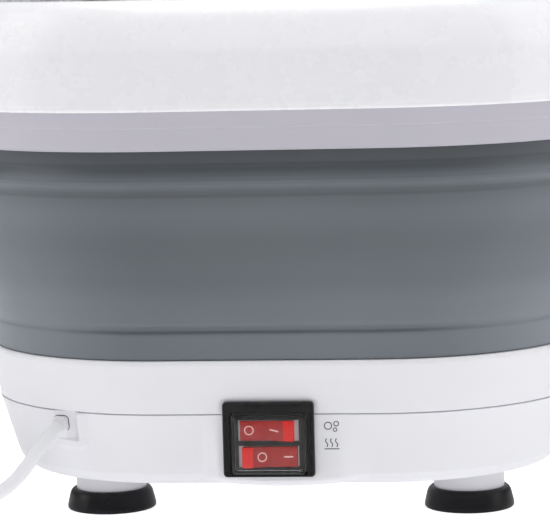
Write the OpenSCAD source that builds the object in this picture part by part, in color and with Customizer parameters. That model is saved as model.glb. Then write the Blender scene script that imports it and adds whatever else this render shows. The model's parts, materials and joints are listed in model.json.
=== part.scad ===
// Collapsible foot spa basin: a rigid base with the electrics, a soft folding
// wall and a rigid rim that slides straight down over the base.
// Millimetres. Origin on the floor under the middle of the base, front = -Y.

/* [Outline] */
// Half width of the straight core that every outline is offset from
core_x = 44; // [40:1:50]
// Half length of the straight core
core_y = 94; // [88:1:100]

/* [Rim] */
// Height of the rim's crest above the floor
rim_top = 219; // [215:1:224]
// Height of the shoulder line on the rim
rim_shoulder_z = 200; // [198:1:203]
// Height of the lower lip of the rim's skirt
rim_lip_z = 176; // [174:1:178]
// Height of the rim's underside, where the soft wall comes out
rim_under_z = 159; // [158:1:161]
// Offset of the skirt's lower lip from the core
rim_r = 105.2; // [104.6:0.2:106]
// Thickness of the rim's shell
rim_t = 2.6; // [2.2:0.2:3]

/* [Folding wall] */
// How far the rim travels down when the basin is folded
fold_travel = 98; // [80:1:100]
// Height of the upper fold line
fold_hi = 143; // [142:1:144]
// Height where the lower band hands over to the folding panel
fold_lo = 105; // [104:1:106]
// Thickness of the soft wall
wall_t = 1.8; // [1.6:0.1:1.8]

/* [Base] */
// Height of the base's top edge
base_top = 74; // [73:0.5:75]
// Height of the seam between the tub and the bottom cover
seam_z = 52; // [51.6:0.2:52.2]
// Height of the base's underside
base_bot = 21; // [20.6:0.2:21.4]
// Top of the basin floor
floor_z = 58; // [57.6:0.2:58.4]

/* [Feet] */
// Distance of the feet from the middle plane, across
foot_x = 77; // [74:1:80]
// Distance of the feet from the middle plane, lengthways
foot_y = 102; // [100:1:106]
// Height of a rubber foot
foot_h = 9; // [8:0.5:10]
// Diameter of a rubber foot on the floor
foot_d = 38; // [36:1:40]
// Diameter of the post that stands in a rubber foot
post_d = 30; // [28:0.5:30]

/* [Switch] */
// Width of the switch frame
bezel_w = 37; // [36.6:0.2:38]
// Height of the switch frame
bezel_h = 30.6; // [30.2:0.2:31]
// Height of the middle of the rockers and their splash cover
switch_z = 40.3; // [40.1:0.1:40.5]
// Angle that a rocker turns from one side to the other
rocker_turn = 16; // [12:1:16]

/* [Massage rollers] */
// Distance of the rollers' middle from the middle plane
roller_x = 46; // [44:1:47]
// Height of the rollers' axles
roller_z = 69; // [69:0.5:70]
// Diameter of a roller's axle
axle_d = 4; // [3.8:0.1:4]

/* [Cord] */
// Diameter of the mains cord
cord_d = 5.6; // [5.4:0.1:6]

/* [Hidden] */
$fn = 64;

white = "whitesmoke";
soft_grey = "slategray";
black = [0.12, 0.12, 0.13];

roller_y = [-45, 5];
cover_screw_at = [[98, 0], [-98, 0], [62, 142], [-62, 142], [62, -142], [-62, -142]];
pad_y = -(core_y + 80);              // plane that the switch frame stands on
bezel_z = switch_z + 1.7;            // the frame is deeper above its window than below
gland_a = -15;                       // direction that the cord pocket faces
gland_z = 46;
gland_o = [-86, -161];               // where the cord leaves the pocket's mouth
gland_n = [sin(gland_a), -cos(gland_a)];
gland_x = -1.6;                      // the gland sits this far along the pocket from its middle
function gland_at(d, z) = [gland_o[0] + gland_x * cos(gland_a) + d * gland_n[0], gland_o[1] + gland_x * sin(gland_a) + d * gland_n[1], z];

// ---------- shared geometry ----------

function unit(v) = v / norm(v);
function bez(a, b, c, d, n, skip = 0) = [for (i = [skip:n]) let (t = i / n, s = 1 - t)
  a * s * s * s + 3 * b * s * s * t + 3 * c * s * t * t + d * t * t * t];
// right-hand normal of the segment from p to q
function rnorm(p, q) = let (d = unit(q - p)) [d[1], -d[0]];
function off_at(p, i, t) = let (
    n1 = rnorm(p[max(i - 1, 0)], p[max(i, 1)]),
    n2 = rnorm(p[min(i, len(p) - 2)], p[min(i + 1, len(p) - 1)]),
    m = unit(n1 + n2)) p[i] + m * t / (m * n1);
function thick(p, t) = concat(p, [for (i = [len(p) - 1:-1:0]) off_at(p, i, t)]);

// Carries a profile (distance from the core, height) round the whole outline
module around() {
  for (m = [0, 180]) rotate([0, 0, m]) {
    translate([core_x, core_y, 0]) rotate_extrude(angle = 90, $fn = 96) children();
    translate([-core_x, core_y, 0]) rotate([0, 0, 90]) rotate_extrude(angle = 90, $fn = 96) children();
    translate([core_x, core_y, 0]) rotate([90, 0, 0]) linear_extrude(2 * core_y) children();
    translate([-core_x, core_y, 0]) rotate([90, 0, 90]) linear_extrude(2 * core_x) children();
  }
}
module core(z0, z1) translate([-core_x, -core_y, z0]) cube([2 * core_x, 2 * core_y, z1 - z0]);
// Places children with -Y pointing out of the cord pocket
module at_pocket() translate([gland_o[0], gland_o[1], 0]) rotate([0, 0, gland_a]) children();
// Cylinder along -Y from y0 to y1 (y1 < y0)
module along_y(d1, d2, y0, y1) translate([0, y0, 0]) rotate([90, 0, 0]) cylinder(d1 = d1, d2 = d2, h = y0 - y1);

// Round tube swept along a route
function tangent(p, i) = unit(p[min(i + 1, len(p) - 1)] - p[max(i - 1, 0)]);
function side_of(t) = unit(cross(t, abs(t[2]) > 0.95 ? [1, 0, 0] : [0, 0, 1]));
function ring(p, i, r, n) = let (t = tangent(p, i), s = side_of(t), u = cross(s, t))
  [for (k = [0:n - 1]) p[i] + r * (s * cos(360 * k / n) + u * sin(360 * k / n))];
module tube(p, d, n = 8) {
  m = len(p);
  polyhedron(
    points = [for (i = [0:m - 1]) each ring(p, i, d / 2, n)],
    faces = concat([[for (k = [0:n - 1]) k]],
      [for (i = [0:m - 2], k = [0:n - 1]) let (a = i * n + k, b = i * n + (k + 1) % n) [a, a + n, b]],
      [for (i = [0:m - 2], k = [0:n - 1]) let (a = i * n + k, b = i * n + (k + 1) % n) [b, a + n, b + n]],
      [[for (k = [n - 1:-1:0]) (m - 1) * n + k]]),
    convexity = 10);
}
// Smooth route through points, n steps a span
function cr(p, i, t) = let (
    a = p[max(i - 1, 0)], b = p[i], c = p[i + 1], d = p[min(i + 2, len(p) - 1)])
  0.5 * (2 * b + (c - a) * t + (2 * a - 5 * b + 4 * c - d) * t * t + (3 * b - a - 3 * c + d) * t * t * t);
function smooth(p, n) = concat([for (i = [0:len(p) - 2], k = [0:n - 1]) cr(p, i, k / n)], [p[len(p) - 1]]);

// ---------- rim ----------

rim_line = concat(
  [[88.4, 212.6]],
  bez([88.2, 215.4], [88.2, 217.6], [89.4, rim_top], [91.2, rim_top], 4),
  bez([91.2, rim_top], [97, rim_top], [100.8, rim_shoulder_z + 9.5], [103.3, rim_shoulder_z], 7, 1),
  [[rim_r, rim_lip_z + 1.2], [rim_r - 0.3, rim_lip_z]]);

module rim_frame() color(white) difference() {
  union() {
    around() polygon(thick(rim_line, rim_t));
    for (s = rim_screw_at) translate([s[0], s[1], rim_lip_z + 1]) cylinder(d = 5, h = 29, $fn = 32);
  }
  for (s = rim_screw_at) translate([s[0], s[1], rim_lip_z]) cylinder(d = 2.4, h = 12, $fn = 24);
}

clamp_line = [[101.9, 184], [101.9, rim_lip_z - 0.2], [95.8, rim_under_z + 0.4], [94.7, rim_under_z + 0.4], [94.7, 172],
  [96.1, 172], [96.1, rim_under_z + 6.2], [99.9, rim_lip_z], [99.9, 184]];
module rim_clamp_ring() color("gainsboro") difference() {
  around() polygon(clamp_line);
  for (s = rim_screw_at) translate([s[0], s[1], 160]) cylinder(d = 3.4, h = 30, $fn = 24);
  for (s = rim_screw_at) translate([s[0], s[1], rim_lip_z + 0.8]) cylinder(d = 5.4, h = 20, $fn = 32);
}
rim_screw_at = [for (x = [-1, 1], y = [-62, 0, 62]) [x * (core_x + 98.6), y],
                for (x = [-28, 28]) [x, core_y + 98.6]];
module rim_screws() color("silver") for (s = rim_screw_at) translate([s[0], s[1], 0]) {
  translate([0, 0, 168]) cylinder(d = 3.4, h = 2.4, $fn = 24);
  translate([0, 0, 170.4]) cylinder(d = 2.4, h = 15, $fn = 24);
}

// ---------- folding wall ----------

upper_line = [[90.8, 212.4], [91.6, 206], [94.5, 198.5], [94.5, 150], [94.6, 146], [94.5, fold_hi]];
panel_line = [[92.3, fold_hi], [86.3, fold_lo]];
lower_line = [[84.2, fold_lo], [82.2, 86], [81.2, base_top]];
module wall_upper_band() color(soft_grey) around() polygon(thick(upper_line, wall_t));
module wall_fold_panel() color(soft_grey) around() polygon(thick(panel_line, wall_t));
module wall_lower_band() color(soft_grey) around() {
  polygon(thick(lower_line, wall_t));
  polygon([[79.2 - wall_t, 64], [79.2, 64], [79.2, base_top], [80.6, base_top], [80.6, base_top + 1.6], [79.2 - wall_t, base_top + 1.6]]);
}

// ---------- base shells ----------

tub_line = [[-0.01, floor_z - 3], [77, floor_z - 3], [77, seam_z + 0.4], [80, seam_z + 0.4],
  [82.5, base_top - 1.8], [82.3, base_top - 0.5], [81.9, base_top], [79.2, base_top],
  [79.2, 61.8], [78.5, 59.8], [77.4, 58.6], [76, floor_z], [-0.01, floor_z]];
nodule_at = [for (x = [22:12:70], y = [48:14:104]) [x, y], for (x = [22:12:70], y = [-76:-14:-104]) [x, y]];
module tub() color(white) difference() {
  union() {
    around() polygon([for (p = tub_line) [max(p[0], 0), p[1]]]);
    core(floor_z - 3, floor_z);
    for (s = cover_screw_at) translate([s[0], s[1], base_bot + 2.6]) cylinder(d = 8, h = floor_z - 2 - base_bot - 2.6);
    // nipple under the bubble bar
    translate([0, -70, floor_z - 9]) cylinder(d = 6, h = 8);
    // massage nodules
    for (s = nodule_at, m = [-1, 1]) translate([m * s[0], s[1], floor_z - 0.5]) cylinder(d1 = 6, d2 = 3.4, h = 2.8, $fn = 24);
  }
  for (s = cover_screw_at) translate([s[0], s[1], base_bot]) cylinder(d = 2.6, h = 14, $fn = 24);
  translate([0, -70, floor_z - 10]) cylinder(d = 3, h = 14);
  // flat for the switch frame, and the top of its window
  translate([-bezel_w / 2 - 0.3, pad_y - 6, seam_z - 1]) cube([bezel_w + 0.6, 6, bezel_z + bezel_h / 2 + 0.3 - seam_z + 1]);
  translate([-14.8, pad_y - 5, seam_z - 1]) cube([29.6, 12, switch_z + 12 - seam_z + 1]);
}

cover_line = [[0, base_bot], [64.5, base_bot], [67.5, 21.7], [70.2, 23.5], [72.2, 26.2], [73.4, 29.6], [80, seam_z - 0.4],
  [77.2, seam_z - 0.4], [70.7, 30.4], [69.7, 27.6], [68, 25.4], [65.9, 24], [64, base_bot + 2.6], [0, base_bot + 2.6]];
module foot_places() for (x = [-1, 1], y = [-1, 1]) translate([x * foot_x, y * foot_y, 0]) children();
module bottom_cover() color(white) difference() {
  union() {
    around() polygon(cover_line);
    core(base_bot, base_bot + 2.6);
    foot_places() translate([0, 0, 3]) cylinder(d = post_d, h = base_bot - 2);
    // switch pad: stands proud of the drafted side
    translate([0, 0, 24.4]) linear_extrude(seam_z - 0.4 - 24.4)
      polygon([[-23, pad_y], [29, pad_y], [36, pad_y + 10], [36, pad_y + 14], [-30, pad_y + 14], [-30, pad_y + 10]]);
    // back wall of the cord pocket
    at_pocket() translate([-9, 3.5, 36.5]) cube([19, 2.6, seam_z - 0.4 - 36.5]);
    at_pocket() translate([-9, 0.5, 36.5]) cube([19, 5, 2.6]);
    at_pocket() translate([7.6, -0.5, 36.5]) cube([2.4, 6, seam_z - 0.4 - 36.5]);
  }
  // hollow behind the switch pad
  translate([-20, pad_y + 2.6, 27]) cube([46, 20, seam_z - 20]);
  // window for the switch
  translate([-14.8, pad_y - 5, switch_z - 12]) cube([29.6, 30, 24]);
  // cord pocket and the gland's hole
  at_pocket() translate([-7, -16.5, 39.5]) cube([14.6, 20, 20]);
  at_pocket() translate([gland_x, 0, gland_z]) along_y(6.4, 6.4, 12, -1);
  // hollow posts
  foot_places() translate([0, 0, 8]) cylinder(d = post_d - 6, h = base_bot);
  foot_places() translate([0, 0, 2]) cylinder(d = 4.2, h = 8, $fn = 24);
  for (s = cover_screw_at) translate([s[0], s[1], base_bot - 1]) cylinder(d = 3.4, h = 6, $fn = 24);
  for (s = cover_screw_at) translate([s[0], s[1], base_bot - 1]) cylinder(d = 7, h = 2.2, $fn = 32);
}
module housing_gasket() color([0.3, 0.3, 0.32]) difference() {
  around() translate([77.4, seam_z - 0.4]) square([1.9, 0.8]);
  translate([-15.5, pad_y - 6, seam_z - 2]) cube([31, 20, 4]);
  at_pocket() translate([-7, -16.5, seam_z - 2]) cube([14.6, 20, 4]);
}
module cover_screws() color("silver") for (s = cover_screw_at) translate([s[0], s[1], 0]) {
  translate([0, 0, base_bot - 0.4]) cylinder(d = 6.4, h = 1.6, $fn = 32);
  translate([0, 0, base_bot + 1]) cylinder(d = 2.6, h = 12, $fn = 24);
}

// ---------- feet ----------

module rubber_foot() color(black) difference() {
  rotate_extrude() polygon([[0, 0], [foot_d / 2 - 0.8, 0], [foot_d / 2, 0.8], [foot_d / 2, 2],
    [foot_d / 2 - 1.1, foot_h - 2.2], [foot_d / 2 - 1.7, foot_h - 0.9], [foot_d / 2 - 2.8, foot_h], [0, foot_h]]);
  translate([0, 0, 3]) cylinder(d = post_d, h = foot_h);
  translate([0, 0, -1]) cylinder(d = 10, h = 2.6);
  translate([0, 0, -1]) cylinder(d = 4.2, h = 6, $fn = 24);
}
module rubber_foot_front_left() translate([-foot_x, -foot_y, 0]) rubber_foot();
module rubber_foot_front_right() translate([foot_x, -foot_y, 0]) rubber_foot();
module rubber_foot_rear_left() translate([-foot_x, foot_y, 0]) rubber_foot();
module rubber_foot_rear_right() translate([foot_x, foot_y, 0]) rubber_foot();
module foot_screws() color("silver") foot_places() {
  translate([0, 0, 0.2]) cylinder(d = 8, h = 1.4, $fn = 32);
  translate([0, 0, 1.6]) cylinder(d = 4.2, h = 6.4, $fn = 24);
  translate([0, 0, 8]) cylinder(d = 7, h = 3, $fn = 6);
}

// ---------- switch ----------

module framed(w, h, iw, ih, y0, y1) difference() {
  translate([-w / 2, y1, bezel_z - h / 2]) cube([w, y0 - y1, h]);
  translate([-iw / 2, y1 - 1, switch_z - ih / 2]) cube([iw, y0 - y1 + 2, ih]);
}
rocker_z = [switch_z + 5.4, switch_z - 5.4];
rocker_len = 22.6;
rocker_h = 8.4;
pivot_y = pad_y + 2;
flange_y = pad_y - 1.2;              // front of the switch's own flange
module switch_gasket() color([0.2, 0.2, 0.21]) framed(bezel_w - 1.6, bezel_h - 1.6, 31.2, 25.2, pad_y, pad_y - 0.6);
module switch_bezel() color(black) difference() {
  framed(bezel_w, bezel_h, 31.2, 25.2, pad_y - 0.6, pad_y - 3);
  // sloped outer edges
  for (m = [0, 1]) mirror([m, 0, 0]) translate([bezel_w / 2, pad_y - 3, switch_z - 20]) rotate([0, 0, 45]) cube([2, 2, 40], center = false);
}
module splash_cover() color([0.85, 0.9, 0.92, 0.35]) difference() {
  union() {
    translate([-15.4, pad_y - 2.6, switch_z - 12.4]) cube([30.8, 1.4, 24.8]);
    translate([-14.2, pad_y - 6, switch_z - 11.4]) cube([28.4, 3.6, 22.8]);
  }
  translate([-13.4, pad_y - 5.2, switch_z - 10.6]) cube([26.8, 6, 21.2]);
}
module switch_body() color(black) difference() {
  union() {
    translate([-15.4, flange_y, switch_z - 12.4]) cube([30.8, 1.2, 24.8]);
    translate([-14.5, pad_y, switch_z - 11.8]) cube([29, 26, 23.6]);
  }
  for (z = rocker_z) translate([-12.4, pad_y - 5, z - rocker_h / 2 - 0.3]) cube([24.8, 15, rocker_h + 0.6]);
  for (z = rocker_z) translate([-4, pad_y + 9, z - 3]) cube([8, 9, 6]);
  translate([0, pivot_y, switch_z - 14]) cylinder(d = 1.6, h = 28, $fn = 24);
}
module rocker_pin() color("silver") translate([0, pivot_y, switch_z - 11.2]) cylinder(d = 1.6, h = 22.4, $fn = 24);
// Rocker in its middle position, pivot at the origin, face towards -Y
module rocker() {
  e = 5;
  difference() {
    translate([0, 0, -rocker_h / 2]) linear_extrude(rocker_h) polygon([[-rocker_len / 2, -e],
      [0, -(e - rocker_len / 2 * tan(rocker_turn / 2))], [rocker_len / 2, -e],
      [rocker_len / 2 - 0.6, -1.4], [4.5, 2.2], [-4.5, 2.2], [-rocker_len / 2 + 0.6, -1.4]]);
    translate([0, 0, -10]) cylinder(d = 1.7, h = 20, $fn = 24);
  }
}
// Upper rocker rests with its left end pressed, lower one with its right end pressed
module bubble_rocker() color("crimson") translate([0, pivot_y, rocker_z[0]]) rotate([0, 0, -rocker_turn / 2]) rocker();
module heating_rocker() color("crimson") translate([0, pivot_y, rocker_z[1]]) rotate([0, 0, rocker_turn / 2]) rocker();
module indicator_lamps() color("orange") for (z = rocker_z) translate([-3.5, pad_y + 13, z]) rotate([0, 90, 0]) cylinder(d = 3.2, h = 7, $fn = 24);
module switch_terminals() color("gold") for (x = [-9, 0, 9], z = rocker_z) translate([x - 0.4, pad_y + 26, z - 3]) cube([0.8, 8, 6]);

// ---------- power ----------

module cord_gland() color(white) at_pocket() translate([gland_x, 0, gland_z]) difference() {
  union() {
    along_y(7.6, 7, 3.5, 0.6);
    along_y(6.3, 6.3, 14, 3.5);
  }
  along_y(4.6, 4.6, 15, 1.6);
}
module gland_nut() color([0.25, 0.25, 0.27]) at_pocket() translate([gland_x, 0, gland_z]) difference() {
  along_y(8.2, 8.2, 10.4, 6.2);
  along_y(6.3, 6.3, 12, 5);
}

// The stretch from the gland to the coil
coil_c = [-172, -133];
cord_z = 3.6;
cord_route = concat([gland_at(0.6, 46)],
  [[-89.7, -167.2, 44.1], [-92.5, -172.2, 40.8], [-95.8, -175.6, 36.1], [-99.3, -177.1, 30.7], [-104.3, -177.4, 25.1], [-110, -177.4, 21.1], [-118, -177.2, 16.9],
   [-127, -176.8, 12.3], [-136, -176.3, 8.1], [-145, -175.7, 5.1], [-154, -175.2, 3.75], [-163, -175, cord_z], [-172, -175, cord_z]]);
module power_cord() color(white) tube(smooth(cord_route, 3), cord_d);
// Coil of six turns, three below and three above
module power_cord_coil() color(white) translate([coil_c[0], coil_c[1], 0.8]) rotate_extrude(angle = 360, $fn = 64)
  polygon([[21, 0], [45, 0], [45, 6], [42, 11.2], [24, 11.2], [21, 6]]);
// From the coil's upper outer turn to the plug
tail_route = [[-188, -177, 8.2], [-203, -170, 5.2], [-214.5, -157.5, cord_z], [-220.5, -143.5, cord_z], [-222, -129, cord_z],
  [-222, -115, 5], [-222, -100, 7.4], [-222, -86, 9]];
module power_cord_tail() color(white) tube(smooth(tail_route, 2), cord_d);
module cord_tie() color(black) translate([coil_c[0], coil_c[1], 0]) rotate([0, 0, 60]) rotate([90, 0, 0]) translate([0, 0, -5]) linear_extrude(10)
  difference() {
    polygon([[19.5, 0], [45.9, 0], [45.9, 9], [43.6, 13], [21.8, 13], [19.5, 9]]);
    polygon([[20.3, 0.8], [45.1, 0.8], [45.1, 8.7], [43.1, 12.2], [22.3, 12.2], [20.3, 8.7]]);
  }
module plug_at() translate([-222, -86, 9]) children();
module plug_body() color(white) plug_at() difference() {
  union() {
    translate([0, 24, 0]) rotate([90, 0, 0]) cylinder(d1 = 11, d2 = 8, h = 24);
    translate([-12, 24, -9]) linear_extrude(18) polygon([[4, 0], [20, 0], [24, 8], [24, 26], [0, 26], [0, 8]]);
  }
  translate([0, 20, 0]) rotate([90, 0, 0]) cylinder(d = 6.1, h = 30);
}
module plug_blades() color("silver") plug_at() for (m = [-1, 1]) translate([m * 6.35 - 0.75, 50, -3.15]) cube([1.5, 16, 6.3]);

// ---------- inside the base ----------

module terminal_block() color("ivory") translate([-56, -128, base_bot + 2.6]) difference() {
  cube([32, 16, 12]);
  for (i = [0:3]) translate([4 + 8 * i, 8, 6]) cylinder(d = 4, h = 10, $fn = 24);
}
wire_routes = [
  [[-82.4, -147.4, 46], [-80, -138, 43], [-64, -126, 33], [-56.5, -121, 30]],
  [[-23.5, -121, 30], [-16, -124, 33], [-9, -132, 41], [-9, -139.4, 45.7]],
  [[-23.5, -116, 30], [-6, -118, 30], [0, -128, 32], [0, -139.4, 34.9]],
  [[9, -139.4, 45.7], [14, -126, 41], [30, -98, 34], [54, -84, 32], [80, -78, 34], [86, -58, 38], [86, -28, 40], [84, -4, 40], [77, 3, 39.4], [70, 1, 38.8], [68, -7.4, 38.6]],
  [[9, -139.4, 34.9], [12, -120, 30], [8, -60, 28], [4, 0, 30], [0, 30, 38], [0, 46, 42.8]]];
module internal_wires() color("peru") for (w = wire_routes) tube(smooth(w, 4), 2);
module heater_plate() color("silver") translate([-55, 36, floor_z - 7]) cube([110, 64, 4]);
module heater_element() color("tan") translate([-35, 56, floor_z - 12]) cube([70, 24, 5]);
module heater_clamp() color("darkgray") difference() {
  union() {
    translate([-8, 42, floor_z - 14]) cube([16, 52, 2]);
    for (y = [42, 88]) translate([-8, y, floor_z - 14]) cube([16, 6, 7]);
  }
  for (y = [45, 91]) translate([0, y, floor_z - 20]) cylinder(d = 3.2, h = 20, $fn = 24);
}
module thermostat() color("dimgray") translate([44, 68, floor_z - 7]) {
  translate([0, 0, -2]) cylinder(d = 18, h = 2);
  translate([0, 0, -10]) cylinder(d = 14, h = 8);
}
module thermal_fuse() color("white") translate([-46, 60, floor_z - 9.2]) rotate([-90, 0, 0]) cylinder(d = 4.4, h = 16, $fn = 32);
module air_pump_motor() color("gray") translate([60, -8, 38.6]) rotate([90, 0, 0]) {
  cylinder(d = 27, h = 36);
  translate([0, 0, -5]) cylinder(d = 8, h = 5);
}
module air_pump_head() color([0.18, 0.18, 0.2]) difference() {
  union() {
    translate([44, -64, 26]) cube([32, 20, 26]);
    translate([44, -72, 36]) rotate([0, 90, 0]) cylinder(d = 5, h = 4);
    translate([46, -72, 36]) rotate([-90, 0, 0]) cylinder(d = 5, h = 10);
  }
}
module pump_bracket() color("darkgray") difference() {
  translate([42, -38, base_bot + 2.6]) cube([36, 24, 12]);
  translate([60, 0, 38.6]) rotate([90, 0, 0]) cylinder(d = 27, h = 60);
  for (x = [45, 75]) translate([x, -26, 20]) cylinder(d = 3.2, h = 20, $fn = 24);
}
hose_route = [[44, -72, 36], [38, -72, 36], [32, -71, 37], [26, -70, 38]];
hose_route2 = [[14, -70, 38], [9, -70, 38.6], [4, -70, 41], [1, -70, 45], [0, -70, 49]];
module air_hose() color([0.8, 0.85, 0.85]) { tube(smooth(hose_route, 3), 5.6); tube(smooth(hose_route2, 3), 5.6); }
module check_valve() color("whitesmoke") translate([26, -70, 38]) rotate([0, -90, 0]) {
  cylinder(d = 6, h = 3);
  translate([0, 0, 3]) cylinder(d = 11, h = 6);
  translate([0, 0, 9]) cylinder(d = 6, h = 3);
}

// ---------- in the basin ----------

module bubble_bar() color("gainsboro") difference() {
  translate([0, 84, floor_z]) rotate([90, 0, 0]) linear_extrude(168)
    polygon([[-8, 0], [8, 0], [7.4, 2.6], [5.6, 4.8], [3, 6], [-3, 6], [-5.6, 4.8], [-7.4, 2.6]]);
  translate([-5, -80, floor_z - 1]) cube([10, 160, 4.4]);
  for (y = [-72:16:72]) translate([0, y, floor_z]) cylinder(d = 1.6, h = 10, $fn = 24);
}
module roller_cradle() color(white) difference() {
  union() {
    for (x = [-29.5, 27]) translate([x, -64, floor_z]) cube([2.5, 88, 14.5]);
    for (y = [-64, 21]) translate([-29.5, y, floor_z]) cube([59, 3, 6]);
    translate([-29.5, -21.5, floor_z]) cube([59, 3, 5]);
  }
  for (y = roller_y) translate([-40, y, roller_z]) rotate([0, 90, 0]) cylinder(d = axle_d, h = 80);
}
module roller_cradle_left() translate([-roller_x, 0, 0]) roller_cradle();
module roller_cradle_right() translate([roller_x, 0, 0]) roller_cradle();
module roller(x, y) color("lightsteelblue") translate([x - 26, y, roller_z]) rotate([90, 0, 90])
  rotate_extrude(angle = 360, $fn = 48) polygon(concat([[axle_d / 2 + 0.05, 0]],
    [for (i = [0:4]) each [[7.6, 0.01 + i * 10.4], [9.6, 2.4 + i * 10.4], [10.2, 5.2 + i * 10.4], [9.6, 8 + i * 10.4]]],
    [[7.6, 52], [axle_d / 2 + 0.05, 52]]));
module roller_front_left() roller(-roller_x, roller_y[0]);
module roller_rear_left() roller(-roller_x, roller_y[1]);
module roller_front_right() roller(roller_x, roller_y[0]);
module roller_rear_right() roller(roller_x, roller_y[1]);
module roller_axles() color("silver") for (m = [-1, 1], y = roller_y) translate([m * roller_x - 29.5, y, roller_z]) rotate([0, 90, 0]) cylinder(d = axle_d, h = 59);

rim_frame();
rim_clamp_ring();
rim_screws();
wall_upper_band();
wall_fold_panel();
wall_lower_band();
tub();
bottom_cover();
housing_gasket();
cover_screws();
rubber_foot_front_left();
rubber_foot_front_right();
rubber_foot_rear_left();
rubber_foot_rear_right();
foot_screws();
switch_gasket();
switch_bezel();
splash_cover();
switch_body();
rocker_pin();
bubble_rocker();
heating_rocker();
indicator_lamps();
switch_terminals();
cord_gland();
gland_nut();
power_cord();
power_cord_tail();
power_cord_coil();
cord_tie();
plug_body();
plug_blades();
terminal_block();
internal_wires();
heater_plate();
heater_element();
heater_clamp();
thermostat();
thermal_fuse();
air_pump_motor();
air_pump_head();
pump_bracket();
air_hose();
check_valve();
bubble_bar();
roller_cradle_left();
roller_cradle_right();
roller_front_left();
roller_rear_left();
roller_front_right();
roller_rear_right();
roller_axles();
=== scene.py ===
import json
import math

import bmesh
import bpy
from mathutils import Matrix, Vector, noise

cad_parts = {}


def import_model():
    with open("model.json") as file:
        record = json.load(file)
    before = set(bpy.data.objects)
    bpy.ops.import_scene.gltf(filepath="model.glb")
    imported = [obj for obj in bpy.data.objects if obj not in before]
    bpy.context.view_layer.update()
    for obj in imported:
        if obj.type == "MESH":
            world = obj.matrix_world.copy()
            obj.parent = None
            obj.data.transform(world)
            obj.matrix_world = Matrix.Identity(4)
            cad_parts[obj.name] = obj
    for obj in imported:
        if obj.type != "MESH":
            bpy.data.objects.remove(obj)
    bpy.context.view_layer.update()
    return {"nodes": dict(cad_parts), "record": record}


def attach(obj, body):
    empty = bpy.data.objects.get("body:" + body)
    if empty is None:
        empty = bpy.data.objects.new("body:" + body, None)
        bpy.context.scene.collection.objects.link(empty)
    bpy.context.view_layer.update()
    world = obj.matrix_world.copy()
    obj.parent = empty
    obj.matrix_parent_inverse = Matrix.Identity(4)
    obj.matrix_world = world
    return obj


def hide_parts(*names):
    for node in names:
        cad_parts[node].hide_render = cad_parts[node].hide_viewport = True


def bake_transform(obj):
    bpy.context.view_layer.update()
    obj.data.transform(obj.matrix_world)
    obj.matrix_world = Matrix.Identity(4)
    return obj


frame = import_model()

MM = 0.001
CX, CY = 44.0, 94.0                    # half sizes of the core that every outline is offset from
SEAM = 52.0
PAD_Y = -174.0
BEZEL_Z, SWITCH_Z = 42.0, 40.3
FEET = [("front_left", -77, -102), ("front_right", 77, -102), ("rear_left", -77, 102), ("rear_right", 77, 102)]


def smooth(t):
    t = max(0.0, min(1.0, t))
    return t * t * (3 - 2 * t)


def mix(a, b, t):
    return a + (b - a) * t


# ---------------------------------------------------------------- camera

def make_camera():
    yaw, pit, rol = -0.1095, 0.1132, -0.0251
    fwd = Vector((math.sin(yaw) * math.cos(pit), math.cos(yaw) * math.cos(pit), -math.sin(pit)))
    r0 = Vector((math.cos(yaw), -math.sin(yaw), 0))
    u0 = r0.cross(fwd)
    right = r0 * math.cos(rol) + u0 * math.sin(rol)
    up = -r0 * math.sin(rol) + u0 * math.cos(rol)
    data = bpy.data.cameras.new("camera")
    data.sensor_fit = "HORIZONTAL"
    data.sensor_width = 36
    data.lens = 36 * 2800 / 550
    data.clip_start, data.clip_end = 0.05, 60
    ob = bpy.data.objects.new("camera", data)
    bpy.context.scene.collection.objects.link(ob)
    m = Matrix((right, up, -fwd)).transposed().to_4x4()
    m.translation = Vector((0.12543, -1.27626, 0.24136))
    ob.matrix_world = m
    bpy.context.scene.camera = ob


make_camera()

# ---------------------------------------------------------------- materials


def lin(r, g, b):
    def f(c):
        c /= 255
        return c / 12.92 if c <= 0.04045 else ((c + 0.055) / 1.055) ** 2.4
    return (f(r), f(g), f(b), 1.0)


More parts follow.
